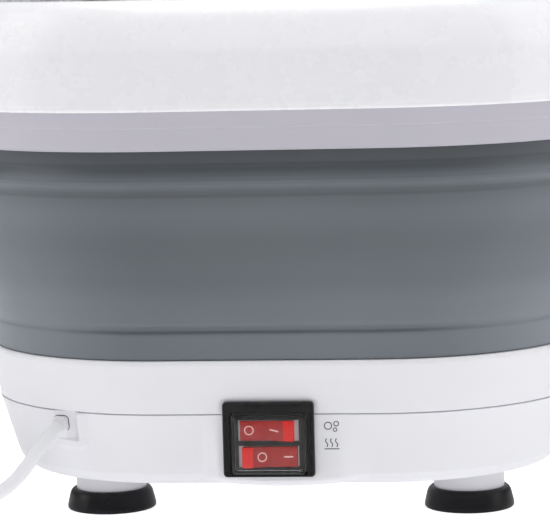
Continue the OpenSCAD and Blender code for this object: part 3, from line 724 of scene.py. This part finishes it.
def make_cover():
    # outer rows from the flat underside up to the seam
    low = dense(fillet([(60, 21), (64.5, 21), (67.5, 21.7), (70.2, 23.5), (72.2, 26.2), (73.4, 29.6), (line_r(38.9), 38.9)], [0, 2.2, 1.8, 1.8, 1.8, 4, 0], closed=False, n=5), 0.55)
    rows = [(p[0], p[1], 0) for p in low]
    z = 39.0
    while z < SEAM - 0.9:
        rows.append((line_r(z), z, 0))
        z += 0.35 if 35 < z < 41.5 else 0.45
    rows += [(line_r(51.2), 51.2, 0), (79.93, 51.5, 0), (79.8, 51.68, 0), (79.5, 51.75, 0), (78.2, 51.75, 1), (77.2, 51.7, 1)]
    inn = [(77.2, 51.7), (70.7, 30.4), (69.7, 27.6), (68, 25.4), (65.9, 24), (64, 23.6)]
    rows += [(p[0], p[1], 1) for p in dense(inn, 1.2)[1:]]
    rows = [(2.0, 21.0, 0), (30, 21.0, 0)] + rows + [(30, 23.6, 1), (2.0, 23.6, 1)]

    # columns: the front left corner is dense round the cord's pocket
    cx, cy = -CX, -CY
    c1 = (cx - GO[0]) * GT[0] + (cy - GO[1]) * GT[1]

    def phi_at(lx, r):
        return GA + math.asin(max(-1, min(1, (lx - c1) / max(r, 40))))
    cols = [("fix", p) for p in outline(88, 60, 50, 34)[:88 + 60 + 50 + 60 + 34 + 60 + 50]]
    a90, a60, a12 = math.radians(-90), math.radians(-60), math.radians(-12)
    cols += [("ang", mix(a90, a60, i / 16)) for i in range(16)]
    cols += [("left", i / 9) for i in range(9)]
    cols += [("lx", -12 + 0.3 * i) for i in range(83)]
    cols += [("right", i / 5) for i in range(5)]
    cols += [("ang", mix(a12, 0, i / 7)) for i in range(7)]

    def place(col, r):
        kind, val = col
        if kind == "fix":
            return val
        if kind == "ang":
            a = val
        elif kind == "left":
            a = mix(a60, phi_at(-12, r), val)
        elif kind == "right":
            a = mix(phi_at(12.6, r), a12, val)
        else:
            a = phi_at(val, r)
        return (cx, cy, math.sin(a), -math.cos(a))

    verts = []
    for r, z, inside in rows:
        for col in cols:
            bx, by, nx, ny = place(col, r)
            rr = r
            if r > 40:
                if ny < -0.97:
                    x = bx + r * nx
                    if not inside:
                        rr = cover_r(x, z, r)
                    else:
                        rr = max(r, mix(r, 77.2, pad_weight(x, z - 2.4)))
                if not inside:
                    rr += 0.05 * noise.noise(Vector(((bx + r * nx) * 0.03, (by + r * ny) * 0.03, z * 0.05)))
            x, y = bx + rr * nx, by + rr * ny
            if r > 40 and z > 34 and col[0] in ("lx", "left", "right"):
                lx = (x - GO[0]) * GT[0] + (y - GO[1]) * GT[1]
                dd = (x - GO[0]) * GN[0] + (y - GO[1]) * GN[1]
                grow = 2.4 if inside else 0.0
                side_x = 7.6 - 1.2 * (51.7 - z) / 12.2
                ex = max(-7 - grow - lx, lx - side_x - grow)
                ez = 39.5 - grow - z
                sd = math.hypot(ex, ez) if ex > 0 and ez > 0 else max(ex, ez)
                back = -1.85 - 0.176 * (46 - z)
                if inside:
                    if sd < 0 and dd > back - 2.6:
                        k = smooth(-sd / 0.55)
                        x -= GN[0] * k * (dd - back + 2.6)
                        y -= GN[1] * k * (dd - back + 2.6)
                else:
                    # drafted side wall, short ledge below, open to the seam above
                    room = min((side_x - lx) / 0.93, (z - 39.5) / 0.7, (lx + 8.5) / 0.7)
                    want = dd - back
                    if room > -0.3 and want > 0:
                        e = max(0.0, 0.5 - abs(room - want)) / 0.5
                        k = max(0.0, min(room, want) - e * e * 0.5 / 4) if room > 0 else 0.0
                        x -= GN[0] * k
                        y -= GN[1] * k
                if not inside and sd > -0.5:
                    edge = smooth((sd + 0.5) / 0.8) * smooth((3.95 - sd) / 0.95)
                    fade = smooth((lx + 9) / 9)
                    h = 0.85 * edge * fade * (1 - smooth((z - 51.2) / 0.5) * 0.6)
                    x += GN[0] * h
                    y += GN[1] * h
            verts.append((x, y, z))
    n = len(cols)
    faces = grid_faces(len(rows), n, False, True)
    faces.append(tuple(range(n)))
    faces.append(tuple((len(rows) - 1) * n + k for k in range(n)))
    parts = [(verts, faces)]
    # posts that stand in the rubber feet
    post = [(2.3, 3.1), (14.5, 3.1), (14.9, 3.5), (15, 4), (15, 19.6), (15.25, 20.4), (15.8, 21.0), (16.4, 21.3), (12, 21.3), (12, 8), (2.3, 8)]
    for _, fx, fy in FEET:
        parts.append(lathe(post, (fx, fy)))
    v, f = join(parts)
    ob = new_mesh("bottom_shell", v, f, "base_white", sharp=42)
    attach(ob, "base")
    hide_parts("bottom_cover")


make_cover()


def make_feet():
    prof = [(2.3, 1.6), (5, 1.6), (5, 0.2), (5.2, 0), (17.9, 0), (18.6, 0.12), (18.95, 0.5), (19, 1.0), (18.98, 1.8), (18.8, 2.6), (18.1, 5.6), (17.85, 6.6),
            (17.5, 7.5), (17.0, 8.2), (16.4, 8.7), (15.8, 8.95), (15.3, 8.98), (15.06, 8.7), (15.06, 3.05), (2.3, 3.05)]
    for name, fx, fy in FEET:
        v, f = lathe(prof, (fx, fy), n=96)
        ob = new_mesh("foot_pad_" + name, v, f, "black_rubber", sharp=40)
        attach(ob, "base")
        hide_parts("rubber_foot_" + name)


make_feet()

# ---------------------------------------------------------------- switch


def xz_loop(w, h, r, cz, y, n=6):
    return [(u, y, cz + v) for u, v in rrect(w, h, r, n)]


def make_switch():
    lp = [xz_loop(37, 30.6, 1.5, BEZEL_Z, -174.6), xz_loop(37, 30.6, 1.5, BEZEL_Z, -175.7), xz_loop(36.7, 30.3, 1.5, BEZEL_Z, -176.4),
          xz_loop(36.1, 29.7, 1.4, BEZEL_Z, -176.9), xz_loop(35.5, 29.1, 1.2, BEZEL_Z, -177.0), xz_loop(34.9, 28.5, 1.0, BEZEL_Z, -176.9),
          xz_loop(34.3, 27.9, 0.9, BEZEL_Z, -176.55), xz_loop(31.9, 25.9, 1.0, SWITCH_Z + 0.1, -176.5), xz_loop(31.4, 25.4, 1.1, SWITCH_Z, -176.4),
          xz_loop(31.2, 25.2, 1.2, SWITCH_Z, -176.0), xz_loop(31.2, 25.2, 1.2, SWITCH_Z, -174.6)]
    v, f = loops_mesh(lp, close=True)
    ob = new_mesh("switch_frame", v, f, "black_plastic", sharp=50)
    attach(ob, "base")
    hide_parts("switch_bezel")

    lp = [xz_loop(31.0, 25.0, 2.0, SWITCH_Z, -175.5), xz_loop(31.0, 25.0, 2.0, SWITCH_Z, -176.9), xz_loop(30.8, 24.8, 2.0, SWITCH_Z, -177.3),
          xz_loop(30.2, 24.2, 2.0, SWITCH_Z, -177.7), xz_loop(29.2, 23.2, 2.0, SWITCH_Z, -178.5), xz_loop(28.2, 22.3, 2.0, SWITCH_Z, -179.2),
          xz_loop(27.3, 21.4, 2.0, SWITCH_Z, -179.7), xz_loop(26.2, 20.3, 1.8, SWITCH_Z, -179.95), xz_loop(25.0, 19.2, 1.6, SWITCH_Z, -180.0),
          xz_loop(10.0, 6.0, 1.0, SWITCH_Z, -180.0)]
    li = [xz_loop(10.0, 6.0, 1.0, SWITCH_Z, -179.25), xz_loop(24.6, 18.8, 1.4, SWITCH_Z, -179.25), xz_loop(25.8, 19.9, 1.4, SWITCH_Z, -179.1),
          xz_loop(26.6, 20.7, 1.5, SWITCH_Z, -178.6), xz_loop(27.8, 21.9, 1.5, SWITCH_Z, -177.6), xz_loop(28.6, 22.7, 1.5, SWITCH_Z, -176.8),
          xz_loop(28.6, 22.7, 1.5, SWITCH_Z, -175.5)]
    v1 = [p for q in lp + li for p in q]
    n = len(lp[0])
    f1 = grid_faces(len(lp), n, False, True) + grid_faces(len(li), n, False, True, base=len(lp) * n)
    f1.append(tuple((len(lp) - 1) * n + k for k in range(n)))
    f1.append(tuple(len(lp) * n + k for k in range(n)))
    b = (len(lp) + len(li) - 1) * n
    f1 += [(k, (k + 1) % n, b + (k + 1) % n, b + k) for k in range(n)]
    ob = new_mesh("splash_hood", v1, f1, "clear_cover", sharp=50)
    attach(ob, "base")
    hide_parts("splash_cover")

    # rockers, each in its own frame with the pivot at the origin and the face towards -Y
    face = [(-11.3, -3.9), (-11.0, -4.5), (-10.4, -4.75), (-7.4, -4.95), (-6.9, -4.75), (-6.4, -4.55), (-3, -3.9), (0, -3.55), (3, -3.9), (6.4, -4.55), (6.9, -4.75),
            (7.4, -4.95), (10.4, -4.75), (11.0, -4.5), (11.3, -3.9)]
    back = [(10.75, -1.4), (4.5, 2.2), (-4.5, 2.2), (-10.75, -1.4)]
    for name, cz, side, o_at, bar_at, tilt in (("bubble", SWITCH_Z + 5.4, 1, -7.3, 2.9, -11), ("heating", SWITCH_Z - 5.4, -1, -3.2, 7.4, 0)):
        turn = Matrix.Rotation(math.radians(-8 * side), 4, "Z")
        org = Vector((0, PAD_Y + 2, cz))

        def world(p):
            q = turn @ Vector(p) + org
            return (q[0], q[1], q[2])
        poly = face + back
        loops = []
        for z, s in ((-4.2, 0.45), (-4.05, 0.12), (-3.75, 0.0), (-2, 0), (0, 0), (2, 0), (3.75, 0.0), (4.05, 0.12), (4.2, 0.45)):
            loops.append([world((x * (1 - s * 0.03), y + (s if y < -2 else 0), z)) for x, y in poly])
        v, f = loops_mesh(loops)
        ob = new_mesh(name + "_rocker_cap", v, f, "rocker_red", sharp=24)
        ob.data.materials.append(M["rocker_tip"])
        inv = turn.inverted()
        # painted highlight: the faces at the raised end take the brighter, glowing rocker_tip colour
        for p in ob.data.polygons:
            c = inv @ (Vector([k / MM for k in p.center]) - org)
            if c[0] * side > 7.1 and c[1] < -2:
                p.material_index = 1
        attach(ob, name + "_rocker")
        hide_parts(name + "_rocker")

        def surf(u, w, out):
            y = face[-1][1]
            for a, b2 in zip(face, face[1:]):
                if a[0] <= u <= b2[0]:
                    y = mix(a[1], b2[1], (u - a[0]) / (b2[0] - a[0]))
                    break
            return world((u, y - out, w))
        ring = ribbon(circle(o_at, 0.1, 1.72), 0.5, surf, closed=True, lift=0.08)
        c, s = math.cos(math.radians(tilt)), math.sin(math.radians(tilt))
        bar = ribbon([(bar_at + t * c, 0.1 + t * s) for t in (-1.9, -0.9, 0, 0.9, 1.9)], 0.62, surf, lift=0.08)
        v, f = join([ring, bar])
        ob = new_mesh(name + "_rocker_marks", v, f, "mark_white", sharp=40)
        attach(ob, name + "_rocker")

    # printed pictograms to the right of the switch: bubbles and rising heat
    def on_cover(u, w, out):
        r = cover_r(u, w, line_r(w))
        return (u, -CY - r - out, w)
    bub = [ribbon(circle(23.9, 47.2, 1.45), 0.42, on_cover, closed=True, lift=0.05, sink=0.15),
           ribbon(circle(27.2, 48.0, 0.95, 20), 0.4, on_cover, closed=True, lift=0.05, sink=0.15),
           ribbon(circle(26.7, 45.6, 0.7, 18), 0.38, on_cover, closed=True, lift=0.05, sink=0.15)]
    heat = []
    for k in range(3):
        x0 = 23.2 + 2.0 * k
        heat.append(ribbon([(x0 + 0.42 * math.sin(t / 14 * 2 * math.pi), 38.6 + 3.4 * t / 14) for t in range(15)], 0.42, on_cover, lift=0.05, sink=0.15))
    heat.append(ribbon([(22.3 + 6.0 * t / 6, 37.8) for t in range(7)], 0.42, on_cover, lift=0.05, sink=0.15))
    for nm, parts in (("bubble_pictogram", bub), ("heating_pictogram", heat)):
        v, f = join(parts)
        ob = new_mesh(nm, v, f, "mark_dark", sharp=60)
        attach(ob, "base")


make_switch()

# ---------------------------------------------------------------- massage rollers


def make_rollers():
    core = [(2.05, 0.5), (6.9, 0.1), (7.4, 0.3), (7.6, 0.9), (7.6, 6), (7.6, 12), (7.6, 20), (7.6, 26), (7.6, 32), (7.6, 40), (7.6, 46), (7.6, 51.1), (7.4, 51.7),
            (6.9, 51.9), (2.05, 51.5)]
    for sx, lr in ((-1, "left"), (1, "right")):
        for ry, fr in ((-45, "front"), (5, "rear")):
            nm = "roller_%s_%s" % (fr, lr)
            x0, z0 = sx * 46 - 26, 69
            v = []
            n = 56
            for r, t in core:
                v += [(x0 + t, ry + r * math.cos(2 * math.pi * k / n), z0 + r * math.sin(2 * math.pi * k / n)) for k in range(n)]
            parts = [(v, grid_faces(len(core), n, True, True))]
            dome = [(2.35, 7.2), (2.3, 7.9), (2.05, 8.7), (1.6, 9.4), (1.05, 9.85), (0.4, 10.1)]
            for ring in range(5):
                tx = 5.2 + 10.4 * ring
                for k in range(8):
                    a = 2 * math.pi * (k + (ring % 2) * 0.5) / 8
                    ux, uy = math.cos(a), math.sin(a)
                    dv = []
                    for rr, h in dome:
                        for q in range(14):
                            b = 2 * math.pi * q / 14
                            s, c = rr * math.sin(b), rr * math.cos(b)
                            dv.append((x0 + tx + c, ry + ux * h - uy * s, z0 + uy * h + ux * s))
                    df = grid_faces(len(dome), 14, False, True)
                    df += [tuple(range(14)), tuple(len(dome) * 14 - 14 + q for q in range(14))]
                    parts.append((dv, df))
            vv, ff = join(parts)
            ob = new_mesh(nm + "_cover", vv, ff, "roller_blue", sharp=40)
            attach(ob, nm)
            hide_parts(nm)


make_rollers()

# ---------------------------------------------------------------- CAD nodes that stay

slots = {s["node"]: s["material_slot"] for s in frame["record"]["subparts"]}
for name, ob in frame["nodes"].items():
    if ob.hide_render:
        continue
    ob.data.materials.clear()
    ob.data.materials.append(M[slots[name]])
    ob.data.shade_smooth()
    ob.data.set_sharp_from_angle(angle=math.radians(30))
    if name in ("bubble_bar", "roller_cradle_left", "roller_cradle_right", "cord_tie", "plug_blades", "switch_body", "terminal_block"):
        bv = ob.modifiers.new("edges", "BEVEL")
        bv.width = 0.0003
        bv.segments = 2
        bv.limit_method = "ANGLE"
        bv.angle_limit = math.radians(40)

# ---------------------------------------------------------------- stage and light


L = {"sky": 0.10, "dome": 0.27, "glow": 0.30, "seen": 0.80, "top": 37, "front": 3.0, "left": 9, "right": 8}


def make_stage():
    me = bpy.data.meshes.new("floor")
    s = 14.0
    me.from_pydata([(-s, -s, 0), (s, -s, 0), (s, s, 0), (-s, s, 0)], [], [(0, 1, 2, 3)])
    ob = bpy.data.objects.new("floor", me)
    bpy.context.scene.collection.objects.link(ob)
    m = bpy.data.materials.new("floor_pale")
    m.use_nodes = True
    nt = m.node_tree
    b = nt.nodes["Principled BSDF"]
    b.inputs["Base Color"].default_value = (0.93, 0.93, 0.935, 1)
    b.inputs["Roughness"].default_value = 0.6
    b.inputs["Specular IOR Level"].default_value = 0.2
    b.inputs["Emission Color"].default_value = (1, 1, 1, 1)
    lpn = nt.nodes.new("ShaderNodeLightPath")
    ma = nt.nodes.new("ShaderNodeMath")
    ma.operation = "MULTIPLY_ADD"
    ma.inputs[1].default_value = L["seen"] - L["glow"]
    ma.inputs[2].default_value = L["glow"]
    nt.links.new(lpn.outputs["Is Camera Ray"], ma.inputs[0])
    nt.links.new(ma.outputs[0], b.inputs["Emission Strength"])
    n = nt.nodes.new("ShaderNodeTexNoise")
    n.inputs["Scale"].default_value = 3
    mr = nt.nodes.new("ShaderNodeMapRange")
    mr.inputs["To Min"].default_value = 0.55
    mr.inputs["To Max"].default_value = 0.65
    nt.links.new(n.outputs["Fac"], mr.inputs["Value"])
    nt.links.new(mr.outputs["Result"], b.inputs["Roughness"])
    me.materials.append(m)

    w = bpy.data.worlds.new("studio")
    bpy.context.scene.world = w
    w.use_nodes = True
    nt = w.node_tree
    nt.nodes.clear()
    out = nt.nodes.new("ShaderNodeOutputWorld")
    bg = nt.nodes.new("ShaderNodeBackground")
    cam = nt.nodes.new("ShaderNodeBackground")
    mixs = nt.nodes.new("ShaderNodeMixShader")
    lp = nt.nodes.new("ShaderNodeLightPath")
    tc = nt.nodes.new("ShaderNodeTexCoord")
    sep = nt.nodes.new("ShaderNodeSeparateXYZ")
    ramp = nt.nodes.new("ShaderNodeMapRange")
    ramp.inputs["From Min"].default_value = -0.05
    ramp.inputs["From Max"].default_value = 0.75
    ramp.inputs["To Min"].default_value = L["sky"]
    ramp.inputs["To Max"].default_value = L["sky"] + L["dome"]
    nt.links.new(tc.outputs["Generated"], sep.inputs[0])
    nt.links.new(sep.outputs["Z"], ramp.inputs["Value"])
    nt.links.new(ramp.outputs["Result"], bg.inputs["Strength"])
    bg.inputs["Color"].default_value = (0.985, 0.985, 1.0, 1)
    cam.inputs["Color"].default_value = (1, 1, 1, 1)
    cam.inputs["Strength"].default_value = 1.0
    nt.links.new(lp.outputs["Is Camera Ray"], mixs.inputs[0])
    nt.links.new(bg.outputs[0], mixs.inputs[1])
    nt.links.new(cam.outputs[0], mixs.inputs[2])
    nt.links.new(mixs.outputs[0], out.inputs["Surface"])

    def area(name, loc, target, size, power, size_y=None, col=(1, 1, 1)):
        la = bpy.data.lights.new(name, "AREA")
        la.energy = power
        la.color = col
        la.size = size
        if size_y:
            la.shape = "RECTANGLE"
            la.size_y = size_y
        lo = bpy.data.objects.new(name, la)
        bpy.context.scene.collection.objects.link(lo)
        lo.location = loc
        d = Vector(target) - Vector(loc)
        lo.rotation_mode = "QUATERNION"
        lo.rotation_quaternion = d.to_track_quat("-Z", "Y")
        lo.visible_camera = False
        return lo
    area("top_softbox", (0.1, -0.2, 2.2), (0, 0, 0.1), 1.8, L["top"], 1.8)
    area("front_softbox", (0.3, -2.4, 1.3), (0, 0, 0.12), 1.4, L["front"], 1.0)
    area("left_strip", (-1.9, -0.5, 1.0), (0, 0, 0.15), 1.1, L["left"], 1.6)
    area("right_strip", (1.9, -0.3, 1.0), (0, 0, 0.15), 1.1, L["right"], 1.6)
    sc = bpy.context.scene
    sc.view_settings.view_transform = "Standard"
    sc.view_settings.look = "None"
    sc.view_settings.exposure = 0.0
    sc.view_settings.gamma = 1.0


make_stage()

bpy.context.view_layer.update()
